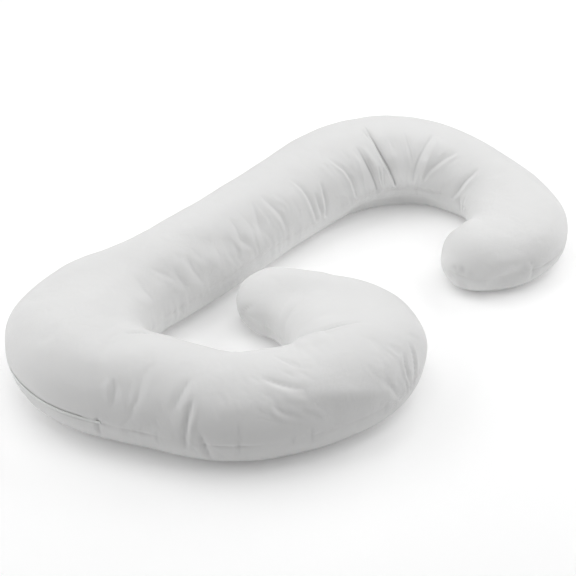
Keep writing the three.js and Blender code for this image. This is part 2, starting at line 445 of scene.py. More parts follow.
@dataclass(frozen=True)
class Rumple:
    """A patch of small creases that run much the same way, as loose cloth does beside a bend.

    slant is how far along the tube a crease moves for each millimetre round it.
    """

    at: tuple[float, float]
    turn: tuple[float, float]
    slant: float
    count: int
    deep: float = 1.3
    length: tuple[float, float] = (24.0, 60.0)
    reach: tuple[float, float] = (3.0, 6.5)

    def folds(self, chance: np.random.Generator) -> list[Fold]:
        """Draws the patch's creases.

        Args:
            chance: The source of unevenness.

        Returns:
            One fold for each crease.
        """
        made = []
        for _ in range(self.count):
            at, turn = chance.uniform(*self.at), chance.uniform(*self.turn)
            half = chance.uniform(*self.length) / 2
            slant = self.slant + chance.normal(0, 0.12)
            step = half / math.hypot(1, slant)
            bow = chance.normal(0, 0.08) * half
            wide = math.degrees(step / TUBE_RADIUS)
            first, last = (at - slant * step, turn - wide), (at + slant * step, turn + wide)
            path = (first, (at + bow, turn), last)
            reach, deep = chance.uniform(*self.reach), self.deep * chance.uniform(0.3, 1.0)
            made.append(Fold(path, reach, deep, lean=chance.uniform(-0.8, 0.8), swell=0.45))
        return made


HEAD_FOLDS = (
    Fold(((824, 92), (819, 74), (811, 58), (798, 41), (782, 24), (768, 6)), 4.2, 10.0, 0.6, 0.16, 0.0, 0.8),
    Fold(((818, 60), (806, 44), (790, 26), (778, 10)), 13.0, 3.4, -0.9, 0.2, 0.0, 0.6),
    Fold(((836, 88), (829, 76), (822, 66)), 3.5, 2.4, 0.3),
    Fold(((876, 66), (863, 40), (851, 22), (842, 4)), 9.0, 9.0, -0.7, 0.3, 0.0, 0.6),
    Fold(((860, 50), (850, 32), (838, 14)), 4.0, 2.2, 0.4),
    Fold(((824, 34), (820, 8)), 3.6, 3.4, 0.5, 0.4, 0.0, 0.6),
    Fold(((806, 30), (812, 8)), 3.2, 2.6, 0.5, 0.4, 0.0, 0.6),
    Fold(((976, 66), (963, 54), (948, 42), (939, 26), (936, 6)), 5.0, 3.6, 0.8, 0.5, 0.0, 0.6),
    Fold(((1108, 70), (1099, 56), (1096, 39), (1095, 22), (1090, 2)), 6.0, 4.2, 0.6, 0.35, 0.0, 0.7),
    Fold(((1042, 46), (1048, 26), (1053, -2)), 5.5, 4.2, 0.6, 0.4, 0.0, 0.7),
    Fold(((1072, 40), (1074, 18), (1070, 0)), 5.0, 3.5, -0.4),
    Fold(((1208, 72), (1202, 55), (1192, 34), (1190, 8)), 8.0, 3.6, 0.6),
    Fold(((1236, 72), (1252, 50), (1268, 24)), 9.0, 3.0, 0.4),
    Fold(((724, 82), (714, 64), (702, 46), (690, 32)), 6.0, 2.2, 0.3),
    Fold(((644, 86), (650, 74), (662, 56), (680, 34), (692, 12)), 11.0, 5.5, -0.7, 0.4, 0.0, 0.4),
    Fold(((560, 74), (574, 62), (592, 48), (622, 28), (640, 10)), 6.0, 3.2, -0.6, 0.4),
    Fold(((479, 68), (481, 53), (495, 32), (523, 2)), 6.0, 4.2, -0.6, 0.35, 0.0, 0.6),
    Fold(((483, 7), (470, -20)), 6.0, 3.0, 0.0, 0.3, 0.5, 0.2),
)

BACK_FOLDS = (
    Fold(((1487, 59), (1505, 36), (1493, 13)), 13.0, 2.8, 0.6),
    Fold(((1559, 54), (1581, 36), (1585, 16)), 13.0, 2.6, 0.5),
    Fold(((1667, 69), (1721, 48), (1757, 23)), 16.0, 3.0, 0.4),
    Fold(((1317, 69), (1319, 53), (1327, 37), (1301, 15)), 10.0, 3.0, 0.6),
    Fold(((1344, 44), (1352, 16)), 7.0, 1.8, -0.4),
    Fold(((1394, 50), (1404, 18)), 10.0, 1.8),
)

LEG_FOLDS = (
    Fold(((2122, 44), (2107, 49), (2091, 56), (2067, 61), (2049, 69), (2029, 72)), 5.0, 3.4, 0.4, 0.3, 0.6),
    Fold(((2060, 128), (2064, 138), (2072, 152)), 9.0, -2.6, 0.0),
    Fold(((2070, 126), (2078, 140), (2082, 156)), 8.0, 2.6, 0.5),
    Fold(((2228, 106), (2221, 119), (2216, 132), (2209, 148)), 9.0, 3.8, -0.5, 0.4),
    Fold(((2243, 128), (2240, 140), (2237, 157), (2235, 176), (2236, 188)), 6.5, 6.0, -0.6, 0.45, 0.0, 0.3),
    Fold(((2258, 162), (2266, 182), (2272, 204)), 6.5, 5.0, 0.5, 0.35, 0.0, 0.4),
    Fold(((2398, 72), (2410, 82), (2430, 93), (2468, 104)), 4.5, 2.4, 0.5),
    Fold(((2356, 100), (2374, 105), (2394, 112), (2414, 118), (2440, 123)), 6.5, 4.2, 0.6, 0.35),
    Fold(((2392, 122), (2410, 130), (2438, 137)), 7.0, -2.4),
    Fold(((2370, 132), (2384, 141), (2404, 151)), 7.0, 3.2, 0.6, 0.5),
    Fold(((2530, 14), (2563, 30), (2568, 47), (2595, 60), (2623, 70), (2649, 79), (2671, 87)),
         5.5, 9.0, 0.5, 0.25, 1.0),
    Fold(((2640, 132), (2630, 144), (2625, 158), (2628, 184)), 5.0, 5.5, 0.6, 0.5, 0.0, 0.5),
    Fold(((2664, 128), (2654, 146), (2641, 170), (2636, 188)), 5.0, 4.0, -0.5, 0.5, 0.0, 0.5),
    Fold(((2616, 148), (2618, 166), (2620, 182)), 3.5, 3.4, 0.4, 0.4, 0.0, 0.5),
    Fold(((2580, 142), (2590, 160), (2602, 182)), 6.0, 3.4, 0.6, 0.3, 0.0, 0.5),
    Fold(((2314, 148), (2316, 170), (2312, 196)), 7.0, 3.4, 0.5, 0.3, 0.0, 0.5),
    Fold(((2434, 168), (2434, 190)), 3.0, 2.2, 0.0, 0.3, 0.3, 0.3),
    Fold(((2398, 172), (2400, 186)), 3.0, 2.0, 0.0, 0.3, 0.3, 0.3),
    Fold(((2574, 172), (2572, 190)), 3.0, 2.0, 0.0, 0.3, 0.3, 0.3),
    Fold(((2184, 172), (2184, 188)), 2.5, 2.4, 0.0, 0.3, 0.6, 0.6),
    Fold(((2049, 176), (2050, 198)), 4.5, 4.0, 0.4, 0.4, 0.6, 0.2),
)

TIP_FOLDS = (
    Fold(((4, 210), (22, 180)), 4.0, 2.6, 0.3),
    Fold(((18, 200), (42, 176)), 4.0, 3.0, 0.3),
    Fold(((36, 156), (30, 172), (25, 190)), 4.5, 4.0, 0.3, 0.4, 0.2, 0.3),
    Fold(((49, 158), (53, 178), (57, 202)), 5.0, 8.0, 0.4, 0.4, 0.2, 0.7),
    Fold(((66, 160), (76, 200)), 4.5, 2.6, -0.4, 0.4),
    Fold(((166, 152), (172, 166), (174, 180), (174, 200)), 8.0, 5.0, 0.4, 0.3, 0.1, 0.3),
    Fold(((3096, 0), (3080, 22), (3060, 40)), 5.0, 3.2, 0.4, 0.3, 0.3),
    Fold(((3090, 150), (3076, 130)), 4.0, 2.4),
)

SWELLS = (
    Swell(((560, 2), (680, 4), (800, 4), (900, 3), (1000, 2)), 20.0, 9.0),
    Swell(((560, -30), (680, -32), (780, -32), (880, -32), (960, -30)), 30.0, -16.0),
    Swell(((560, -28),), 40.0, -3.0),
    Swell(((755, 50), (750, 30)), 36.0, -7.0),
    Swell(((792, 70), (776, 44)), 16.0, 2.5),
    Swell(((905, 60), (900, 36)), 26.0, 3.5),
    Swell(((1000, 58), (1000, 34)), 26.0, 2.5),
    Swell(((1150, 50), (1150, 24)), 34.0, 3.0),
    Swell(((610, 70), (640, 40)), 24.0, 3.0),
    Swell(((535, 40),), 30.0, 3.0),
    Swell(((96, 190), (124, 184), (148, 176), (166, 170)), 20.0, -10.0),
    Swell(((104, 150), (134, 148), (162, 148)), 15.0, 3.0),
    Swell(((90, 188),), 30.0, 5.0),
    Swell(((1820, 150),), 60.0, 6.0),
    Swell(((2430, 128), (2492, 138), (2545, 150), (2595, 164)), 20.0, 4.0),
    Swell(((2480, 164), (2560, 172)), 26.0, -3.0),
    Swell(((2316, 146), (2400, 158)), 24.0, -2.5),
    Swell(((2200, 150),), 26.0, -2.5),
    Swell(((2150, 150),), 34.0, 2.5),
    Swell(((2700, 150),), 44.0, 5.0),
    Swell(((2930, 112), (2990, 112)), 44.0, 6.0),
    Swell(((3098, 60), (3100, 110)), 34.0, 7.0),
    Swell(((3020, -14), (3060, -16), (3090, -16)), 30.0, -12.0),
    Swell(((2700, 60), (2800, 50), (2900, 44)), 34.0, 5.0),
    Swell(((2820, 34), (2900, 32), (2980, 30), (3060, 30)), 36.0, 8.0),
    Swell(((1417, 59),), 26.0, -4.5),
    Swell(((1371, 44),), 24.0, -4.5),
    Swell(((1265, 44),), 22.0, -4.0),
    Swell(((1607, 49),), 26.0, -4.0),
    Swell(((1423, 32),), 22.0, 3.0),
    Swell(((1307, 43),), 18.0, 2.5),
    Swell(((2460, 58), (2520, 62), (2575, 72)), 28.0, 6.0),
)

RUMPLES = (
    Rumple((540, 700), (8, 66), -0.5, 14),
    Rumple((760, 900), (6, 70), 0.45, 16),
    Rumple((900, 1010), (4, 60), 0.34, 12),
    Rumple((1020, 1300), (4, 62), 0.12, 14, 1.2, (20.0, 80.0)),
    Rumple((1300, 1620), (4, 56), 0.3, 10, 1.1, (20.0, 90.0), (4.0, 9.0)),
    Rumple((2340, 2470), (84, 156), 1.3, 18, 1.5),
    Rumple((2560, 2680), (120, 188), 0.1, 16, 1.6),
    Rumple((2170, 2290), (120, 196), 0.45, 14, 1.5),
    Rumple((2020, 2120), (120, 190), 0.1, 7, 1.1),
    Rumple((440, 540), (0, 60), -0.4, 4, 1.2),
    Rumple((30, 200), (120, 190), 0.3, 12, 1.4, (16.0, 36.0)),
    Rumple((2960, 3070), (120, 180), 0.2, 5, 1.0, (16.0, 30.0)),
)


@dataclass
class Relief:
    """Everything that lifts the cloth off the smooth tube or draws it in, in millimetres.

    A fold runs out over the share fold_ends of its path at each end, down to the share end_width of
    its reach. sharp_share and soft_share split its valley into a sharp line and a soft one, and
    crest_off is where its raised cloth lies. fold_span, soft_width and crest_off are counted in
    reaches. Shade is painted into the creases: a crease takes the full painted shade where its fold
    is crease_full deep. ripple_from is the squeeze, a bend's strain on its inner side, below which
    the cloth stays smooth. The thread's pull on the seam is pull_usual and changes by pull_change
    within pull_range. zip_taper is how long the slot narrows towards the zip's end, and below
    clear_above the floor keeps the cloth flat.
    """

    tube: Tube
    folds: tuple[Fold, ...] = HEAD_FOLDS + BACK_FOLDS + LEG_FOLDS + TIP_FOLDS
    swells: tuple[Swell, ...] = SWELLS
    rumples: tuple[Rumple, ...] = RUMPLES
    seed: int = 11
    fold_ends: float = 0.45
    end_width: float = 0.45
    fold_span: float = 5.0
    sharp_share: float = 0.6
    sharp_fall: float = 1.5
    soft_share: float = 0.4
    soft_width: float = 2.2
    crest_off: float = 1.9
    swell_span: float = 2.6
    crease_span: float = 9.0
    crease_half: float = 2.4
    crease_full: float = 9.0
    clear_above: float = 30.0
    tip_rise: float = 9.0
    tip_rise_from: float = 2860.0
    seam_depth: float = 1.8
    seam_reach: float = 8.0
    seam_nip: float = 1.2
    seam_nip_reach: float = 1.8
    pucker_height: float = 1.1
    pucker_step: float = 14.0
    pucker_reach: float = 16.0
    pull_usual: float = 0.6
    pull_change: float = 1.1
    pull_range: tuple[float, float] = (0.15, 1.2)
    pull_step: float = 90.0
    ripple_height: float = 3.4
    ripple_step: float = 26.0
    ripple_from: float = 0.08
    ripple_most: float = 0.6
    lump_height: float = 2.6
    lump_size: float = 105.0
    zip_from: float = ZIP_START
    zip_to: float = ZIP_END
    zip_depth: float = 2.4
    zip_half: float = 5.4
    zip_ease: float = 12.0
    zip_taper: float = 34.0
    lip_height: float = 0.8
    lip_reach: float = 2.2
    calm_along: float = 30.0
    calm_around: float = 22.0

    def beside(self, path: tuple[tuple[float, float], ...], span: float, points: np.ndarray,
               outward: np.ndarray) -> tuple[np.ndarray, np.ndarray, np.ndarray, np.ndarray]:
        """Measures how the cloth lies beside a short path on it.

        Args:
            path: Distances along the middle line and turns in degrees.
            span: How far from the path the cloth still counts.
            points: Places on the smooth cloth.
            outward: Directions out of the cloth there.

        Returns:
            Which places are near, how far each is, its side of the path and its share along it.
        """
        rows = np.array(path if len(path) > 1 else (path[0], path[0]), float)
        shares = np.linspace(0, len(rows) - 1, 8 * (len(rows) - 1) + 1)
        at = np.interp(shares, range(len(rows)), rows[:, 0])
        turn = np.radians(np.interp(shares, range(len(rows)), rows[:, 1]))
        line = self.tube.points(at, turn)
        low, high = line.min(0) - span, line.max(0) + span
        near = np.flatnonzero(((points > low) & (points < high)).all(1))
        spot, out = points[near], outward[near]
        best = np.full(len(near), 1e9)
        side = np.zeros(len(near))
        share = np.zeros(len(near))
        total = len(line) - 1
        for i in range(total):
            run = line[i + 1] - line[i]
            part = np.clip((spot - line[i]) @ run / max(run @ run, 1e-9), 0, 1)
            off = spot - line[i] - part[:, None] * run
            far = np.linalg.norm(off, axis=1)
            nearer = far < best
            best = np.where(nearer, far, best)
            side = np.where(nearer, np.sign((np.cross(run, out) * off).sum(1)), side)
            share = np.where(nearer, (i + part) / total, share)
        return near, best, side, share

    def fold_lift(self, fold: Fold, points: np.ndarray, outward: np.ndarray) -> np.ndarray:
        """Lift made by one fold.

        Args:
            fold: The crease.
            points: Places on the smooth cloth.
            outward: Directions out of the cloth there.

        Returns:
            Millimetres out of the cloth, negative in the valley.
        """
        near, far, side, share = self.beside(fold.path, self.fold_span * fold.reach, points, outward)
        lift = np.zeros(len(points))
        rise = (1 - fold.start) * (1 - np.clip(share / self.fold_ends, 0, 1)) ** 2
        fall = (1 - fold.end) * (1 - np.clip((1 - share) / self.fold_ends, 0, 1)) ** 2
        fade = 1 - rise - fall
        across = far / (fold.reach * (self.end_width + (1 - self.end_width) * fade))
        sharp, soft = np.exp(-self.sharp_fall * across), np.exp(-((across / self.soft_width) ** 2))
        valley = self.sharp_share * sharp + self.soft_share * soft
        swell = fold.swell * np.exp(-((across - self.crest_off) ** 2)) * (1 + fold.lean * side)
        lift[near] = fold.deep * fade * (swell - valley)
        return lift

    def swell_lift(self, swell: Swell, points: np.ndarray, outward: np.ndarray) -> np.ndarray:
        """Lift made by one soft rise or dip.

        Args:
            swell: The rise.
            points: Places on the smooth cloth.
            outward: Directions out of the cloth there.

        Returns:
            Millimetres out of the cloth.
        """
        near, far, _, share = self.beside(swell.path, self.swell_span * swell.reach, points, outward)
        fade = 1 - np.abs(2 * share - 1) ** 4 if len(swell.path) > 2 else 1.0
        lift = np.zeros(len(points))
        lift[near] = swell.lift * fade * np.exp(-((far / swell.reach) ** 2))
        return lift

    def crease_shade_mask(self, points: np.ndarray, outward: np.ndarray) -> np.ndarray:
        """Where shade is painted into the creases, as if little light reached where the cloth folds sharply.

        Args:
            points: Places on the smooth cloth.
            outward: Directions out of the cloth there.

        Returns:
            0 on open cloth and up to 1, the full painted shade, in the bottom of a crease.
        """
        mask = np.zeros(len(points))
        for fold in self.folds:
            near, far, _, share = self.beside(fold.path, self.crease_span, points, outward)
            kept = fold.end * (share > 0.5) + fold.start * (share < 0.5)
            fade = 1 - np.abs(2 * share - 1) ** 2 * (1 - kept)
            # How much painted shade this fold's crease takes, by its depth.
            painted_shade = min(max(fold.deep, 0) / self.crease_full, 1)
            line = np.exp(-((far / self.crease_half) ** 2)) * fade * painted_shade
            mask[near] = np.maximum(mask[near], line)
        return mask

    def ripple_lift(self, at: np.ndarray, turn: np.ndarray) -> np.ndarray:
        """Lift made by loose cloth that runs in ripples over the inner side of a bend.

        Args:
            at: Distances along the middle line.
            turn: Turns round the section in radians.

        Returns:
            Millimetres out of the cloth.
        """
        strain = self.tube.bend(at) * self.tube.half_width(at) * np.cos(turn)
        squeeze = np.clip(strain - self.ripple_from, 0, self.ripple_most)
        lift = np.zeros(len(at))
        for i in np.flatnonzero((squeeze > 0) & (np.sin(turn) > -0.5)):
            place = Vector((at[i] / self.ripple_step, turn[i] * 0.9, 2.7))
            lift[i] = 0.45 - abs(noise.noise(place)) * 1.6 + 0.5 * noise.noise(place * 2.1)
        return self.ripple_height * squeeze * lift * (1 - np.minimum(1.3 * self.tube.fullness(at), 1))

    def seam_lift(self, at: np.ndarray, turn: np.ndarray, points: np.ndarray) -> np.ndarray:
        """Lift made by the rim seam, its puckers and the lips of cloth beside the zip.

        Args:
            at: Distances along the middle line.
            turn: Turns round the section in radians.
            points: Places on the smooth cloth.

        Returns:
            Millimetres out of the cloth.
        """
        off = np.abs(points[:, 2] - self.tube.seam_height(at))
        outer = np.cos(turn) < 0
        opens = np.clip((at - self.zip_from + self.zip_ease) / self.zip_ease, 0, 1)
        shuts = np.clip((self.zip_to + self.zip_ease / 2 - at) / self.zip_ease, 0, 1)
        in_zip = np.where(outer, opens * shuts, 0)
        sides = list(zip(at, outer))
        wave = np.array([noise.noise(Vector((a / self.pucker_step, 7.3 * o, 0.4))) for a, o in sides])
        slow = np.array([noise.noise(Vector((a / self.pull_step, 3.1 * o, 5.2))) for a, o in sides])
        tight = np.clip(self.pull_usual + self.pull_change * slow, *self.pull_range)
        sewn = -self.seam_depth * tight * np.exp(-2 * (off / self.seam_reach) ** 2)
        sewn -= self.seam_nip * tight * np.exp(-((off / self.seam_nip_reach) ** 2))
        sewn += self.pucker_height * wave * 2 * tight * np.exp(-off / self.pucker_reach)
        half = self.zip_half * np.clip((self.zip_to + 4 - at) / self.zip_taper, 0.25, 1)
        slot = -self.zip_depth / (1 + (off / half) ** 10)
        lip = self.lip_height * np.exp(-(((off - half - self.lip_reach) / self.lip_reach) ** 2))
        return np.where(in_zip > 0, sewn * (1 - in_zip) + (slot + lip) * in_zip, sewn)

    def beside_zip(self, at: np.ndarray, turn: np.ndarray) -> np.ndarray:
        """How near each place is to the zip.

        Args:
            at: Distances along the middle line.
            turn: Turns round the section in radians.

        Returns:
            0 far off and 1 on the zip.
        """
        after = np.clip((at - self.zip_from + self.calm_along) / self.calm_along, 0, 1)
        before = np.clip((self.zip_to + self.calm_along - at) / self.calm_along, 0, 1)
        off = self.tube.points(at, turn)[:, 2] - self.tube.seam_height(at)
        return np.where(np.cos(turn) < 0, after * before * np.exp(-((off / self.calm_around) ** 4)), 0)

    def lump_lift(self, points: np.ndarray) -> np.ndarray:
        """Gentle unevenness of the stuffing.

        Args:
            points: Places on the smooth cloth.

        Returns:
            Millimetres out of the cloth.
        """
        spots = points / self.lump_size
        broad = [noise.noise(Vector(p)) + 0.4 * noise.noise(Vector(p * 2.3)) for p in spots]
        return self.lump_height * np.array(broad)

    def lifted(self, at: np.ndarray, turn: np.ndarray) -> np.ndarray:
        """Places on the finished cloth.

        Args:
            at: Distances along the middle line.
            turn: Turns round the section in radians.

        Returns:
            Rows of x, y and z in millimetres.
        """
        points = self.tube.points(at, turn)
        outward = self.tube.outward(at, turn)
        lift = self.lump_lift(points)
        lift += self.ripple_lift(at, turn)
        chance = np.random.default_rng(self.seed)
        small = [fold for rumple in self.rumples for fold in rumple.folds(chance)]
        for fold in (*self.folds, *small):
            lift += self.fold_lift(fold, points, outward)
        for swell in self.swells:
            lift += self.swell_lift(swell, points, outward)
        lift += self.seam_lift(at, turn, points)
        lift *= eased(np.clip(points[:, 2] / self.clear_above, 0, 1))
        moved = points + outward * lift[:, None]
        moved[:, 2] = np.maximum(moved[:, 2], 0)
        rise = np.clip((at - self.tip_rise_from) / (self.tube.length - self.tip_rise_from), 0, 1)
        moved[:, 2] += self.tip_rise * eased(rise)
        return moved


@dataclass
class ClothRun:
    """Lets loose cloth settle over the stuffing: a cloth simulation on a coarse skin, run once.

    The cloth is cut as if every bend were a little more open than it is, so that it has too much
    length on the inside of a bend and buckles there, while the stuffing presses it out. The
    underside is held on the floor. No move counts for more than most millimetres, and taken is the
    share of it that the finished cover follows.
    """

    tube: Tube
    rings: int = 440
    tip_rings: int = 9
    turns: int = 76
    under_turns: int = 14
    frames: int = 18
    opened: float = 0.84
    quality: int = 5
    mass: float = 0.12
    press: float = 3.0
    stiff: float = 40.0
    bending: float = 0.006
    stretch_damping: float = 8.0
    shear_damping: float = 5.0
    bending_damping: float = 0.1
    air_damping: float = 2.0
    most: float = 7.0
    held_below: float = 14.0
    taken: float = 0.85

    def places(self) -> tuple[np.ndarray, np.ndarray]:
        """Lays out the coarse skin.

        Returns:
            Distances of its rings and turns of a ring's points in radians.
        """
        head, leg = self.tube.tip_lengths()
        rounding = 1 - np.cos(np.arange(1, self.tip_rings) / self.tip_rings * math.pi / 2)
        straight = np.linspace(head, self.tube.length - leg, self.rings)
        at = np.r_[rounding * head, straight, self.tube.length - rounding[::-1] * leg]
        upper = np.linspace(-20, 200, self.turns - self.under_turns, endpoint=False)
        turns = np.r_[upper, np.linspace(200, 340, self.under_turns, endpoint=False)]
        return at, np.radians(turns)

    def cut(self, at: np.ndarray, points: np.ndarray) -> np.ndarray:
        """The same points with every bend of the tube a little more open.

        Args:
            at: The points' distances along the middle line.
            points: Rows of x, y and z.

        Returns:
            The points as the cloth was cut.
        """
        marks = np.linspace(0, self.tube.length, 3001)
        middle = self.tube.middle(marks)
        slope = np.gradient(middle, axis=0)
        heading = np.unwrap(np.arctan2(slope[:, 1], slope[:, 0]))
        half = (heading[1:] + heading[:-1]) / 2 * self.opened
        steps = np.stack([np.cos(half), np.sin(half)], -1) * marks[1]
        line = np.vstack([[0.0, 0.0], np.cumsum(steps, axis=0)])
        now = np.interp(at, marks, heading)
        then = now * self.opened
        centre = np.stack([np.interp(at, marks, middle[:, k]) for k in (0, 1)], -1)
        moved = np.stack([np.interp(at, marks, line[:, k]) for k in (0, 1)], -1)
        off = points[:, :2] - centre
        along = off[:, 0] * np.cos(now) + off[:, 1] * np.sin(now)
        aside = off[:, 1] * np.cos(now) - off[:, 0] * np.sin(now)
        turned_x = along * np.cos(then) - aside * np.sin(then)
        turned_y = along * np.sin(then) + aside * np.cos(then)
        return np.column_stack([moved + np.stack([turned_x, turned_y], -1), points[:, 2]])

    def moves(self) -> np.ndarray:
        """Runs the simulation.

        Returns:
            How far each point of the coarse skin moved, in millimetres, by ring and turn.
        """
        at, turns = self.places()
        rows, count = len(at), len(turns)
        all_at, all_turns = np.repeat(at, count), np.tile(turns, rows)
        points = self.tube.points(all_at, all_turns)
        drawn, faces = swept_parts((points * MM).reshape(rows, count, 3), 0)
        skin = bpy.data.meshes.new("loose_cloth")
        skin.from_pydata(drawn, [], faces)
        loose = placed("loose_cloth", skin)
        loose.shape_key_add(name="stuffed")
        cut = loose.shape_key_add(name="cut")
        cut.data.foreach_set("co", (self.cut(all_at, points) * MM).ravel())
        held = loose.vertex_groups.new(name="held")
        held.add([int(i) for i in np.flatnonzero(points[:, 2] < self.held_below)], 1.0, "REPLACE")
        self.settle(loose, cut)
        seen = loose.evaluated_get(bpy.context.evaluated_depsgraph_get()).data
        ended = np.empty(len(seen.vertices) * 3)
        seen.vertices.foreach_get("co", ended)
        moved = ended.reshape(-1, 3) / MM - points
        bpy.data.objects.remove(loose)
        bpy.data.meshes.remove(skin)
        bpy.context.scene.frame_set(1)
        size = np.linalg.norm(moved, axis=1, keepdims=True)
        LOG.info("cloth moved %.1f mm on average and %.1f mm at most", size.mean(), size.max())
        return (moved * np.minimum(1, self.most / np.maximum(size, 1e-6))).reshape(rows, count, 3)

    def settle(self, loose: bpy.types.Object, cut: bpy.types.ShapeKey) -> None:
        """Gives the coarse skin its cloth and steps through the frames.

        Args:
            loose: The coarse skin.
            cut: Its shape as the cloth was cut.
        """
        cloth = loose.modifiers.new("cloth", "CLOTH")
        how = cloth.settings
        how.quality = self.quality
        how.mass = self.mass
        how.tension_stiffness = how.compression_stiffness = self.stiff
        how.shear_stiffness = self.stiff / 5
        how.bending_stiffness = self.bending
        how.tension_damping = how.compression_damping = self.stretch_damping
        how.shear_damping = self.shear_damping
        how.bending_damping = self.bending_damping
        how.air_damping = self.air_damping
        how.vertex_group_mass = "held"
        how.use_pressure = True
        how.uniform_pressure_force = self.press
        how.rest_shape_key = cut
        how.effector_weights.gravity = 0
        cloth.collision_settings.use_collision = False
        for step in range(1, self.frames + 1):
            bpy.context.scene.frame_set(step)

    def spread(self, at: np.ndarray, turn: np.ndarray) -> np.ndarray:
        """The settled cloth's moves at any places.

        Args:
            at: Distances along the middle line.
            turn: Turns round the section in radians.

        Returns:
            Rows of x, y and z in millimetres.
        """
        moves = self.moves()
        places, turns = self.places()
        first = turns[0]
        ring = np.interp(at, places, np.arange(len(places)))
        marks = np.r_[turns - first, 2 * math.pi]
        step = np.interp((turn - first) % (2 * math.pi), marks, np.arange(len(marks)))
        a, b = np.floor(ring).astype(int), np.floor(step).astype(int)
        along, around = spline_shares(ring - a) / 6, spline_shares(step - b) / 6
        settled = np.zeros((len(at), 3))
        for i in range(4):
            for j in range(4):
                near = moves[np.clip(a + i - 1, 0, len(places) - 1), (b + j - 1) % len(turns)]
                settled += near * (along[i] * around[j])[:, None]
        return self.taken * settled


@dataclass
class Cover:
    """The pillow's cloth cover, stuffed tight: one closed skin.

    ring_steps says how far apart the rings lie, as distances along the middle line and steps in
    millimetres, tip_step says it for the two tips, and turn_parts gives the points of a ring, as
    parts of a turn in degrees and how many points each takes. The simulated cloth moves freely
    above free_above millimetres and less and less towards the floor. girth is the UV map's length
    round the tube in metres.
    """

    tube: Tube
    relief: Relief
    cloth: ClothRun
    ring_count: int = 770
    ring_steps: tuple[tuple[float, float], ...] = (
        (700, 4.0),
        (745, 2.5),
        (870, 2.5),
        (910, 3.6),
        (1300, 3.8),
        (1450, 6.5),
        (1980, 6.5),
        (2040, 3.9),
        (2720, 3.7),
        (2900, 5.2),
    )
    tip_step: float = 4.4
    tip_rings: int = 14
    turn_parts: tuple[tuple[float, float, int], ...] = (
        (0, 6, 8),
        (6, 20, 8),
        (20, 160, 48),
        (160, 174, 8),
        (174, 186, 16),
        (186, 204, 8),
        (204, 336, 12),
        (336, 354, 8),
        (354, 360, 8),
    )
    free_above: float = 50.0
    girth: float = 0.62
    fill: float = 0.85

    def ring_places(self) -> np.ndarray:
        """Spaces the rings out, closer together on the tips and among folds.

        Returns:
            Their distances along the middle line.
        """
        head, leg = self.tube.tip_lengths()
        ends = ((head, self.tip_step), (self.tube.length - leg, self.tip_step))
        spots, steps = np.array([ends[0], *self.ring_steps, ends[1]], float).T
        fine = np.linspace(head, self.tube.length - leg, 4000)
        density = np.cumsum(1 / np.interp(fine, spots, steps))
        straight = np.interp(np.linspace(density[0], density[-1], self.ring_count), density, fine)
        round_off = 1 - np.cos(np.arange(1, self.tip_rings) / self.tip_rings * math.pi / 2)
        return np.r_[round_off * head, straight, self.tube.length - round_off[::-1] * leg]

    def ring_turns(self) -> np.ndarray:
        """Turns of a ring's points in radians, closest together at the seam and widest underneath."""
        turns = [np.linspace(low, high, count, endpoint=False) for low, high, count in self.turn_parts]
        return np.radians(np.concatenate(turns))

    def mesh(self) -> bpy.types.Mesh:
        """The closed skin in the part's frame.

        Returns:
            A mesh with a UV map in metres along and round the tube.
        """
        places, turns = self.ring_places(), self.ring_turns()
        rows, count = len(places), len(turns)
        at, turn = np.repeat(places, count), np.tile(turns, rows)
        skin = self.relief.lifted(at, turn)
        free = eased(np.clip(skin[:, 2] / self.free_above, 0, 1))
        free *= 1 - self.relief.beside_zip(at, turn)
        skin += self.cloth.spread(at, turn) * free[:, None]
        skin[:, 2] = np.maximum(skin[:, 2], 0)
        ends = np.array([0.0, self.tube.length])
        tips = self.tube.points(ends, np.zeros(2))
        tips[1, 2] += self.relief.tip_rise
        points = self.tube.fitted(np.vstack([skin, tips]))
        faces: list[tuple[int, ...]] = []
        head, leg = rows * count, rows * count + 1
        last = (rows - 1) * count
        for j in range(count):
            k = (j + 1) % count
            faces.append((head, k, j))
            faces.append((leg, last + j, last + k))
        for i in range(rows - 1):
            a, b = i * count, (i + 1) * count
            faces.extend((a + j, a + (j + 1) % count, b + (j + 1) % count, b + j) for j in range(count))
        made = smooth_mesh("pillow_cover", points.tolist(), faces)
        self.unwrap(made, at, turn)
        # Painted shade: the crease mask is stored as the crease attribute, by which the cloth's colour is
        # darkened.
        mask = self.relief.crease_shade_mask(self.tube.points(at, turn), self.tube.outward(at, turn))
        crease = made.attributes.new("crease", "FLOAT", "POINT")
        crease.data.foreach_set("value", np.r_[mask, 0, 0].astype(np.float32))
        made.update()
        return made

    def unwrap(self, made: bpy.types.Mesh, at: np.ndarray, turn: np.ndarray) -> None:
        """Gives the skin a UV map in metres: along the tube and round it.

        Args:
            made: The skin, with the points of its two tips last.
            at: Distances of its ring points.
            turn: Turns of its ring points.
        """
        flat = np.stack([at * MM, turn / (2 * math.pi) * self.girth], -1)
        flat = np.vstack([flat, [[0, 0], [self.tube.length * MM, 0]]])
        uv = flat[corner_points(made)]
        starts = np.empty(len(made.polygons), int)
        totals = np.empty(len(made.polygons), int)
        made.polygons.foreach_get("loop_start", starts)
        made.polygons.foreach_get("loop_total", totals)
        face = np.repeat(np.arange(len(starts)), totals)
        widest = np.zeros(len(starts))
        np.maximum.at(widest, face, uv[:, 1])
        wraps = (widest[face] - uv[:, 1]) > self.girth / 2
        uv[wraps, 1] += self.girth
        made.uv_layers.new(name="cloth").data.foreach_set("uv", uv.ravel())

    def build(self, finish: "CottonFinish") -> bpy.types.Object:
        """Builds the cover, dresses it and hangs it on the pillow's root body.

        Args:
            finish: The cloth's finish.

        Returns:
            The cover's object.
        """
        cover = placed("pillow_cover", self.mesh())
        cover.data.materials.append(finish.material("white_cotton"))
        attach(cover, BODY)
        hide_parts("pillow")
        return cover


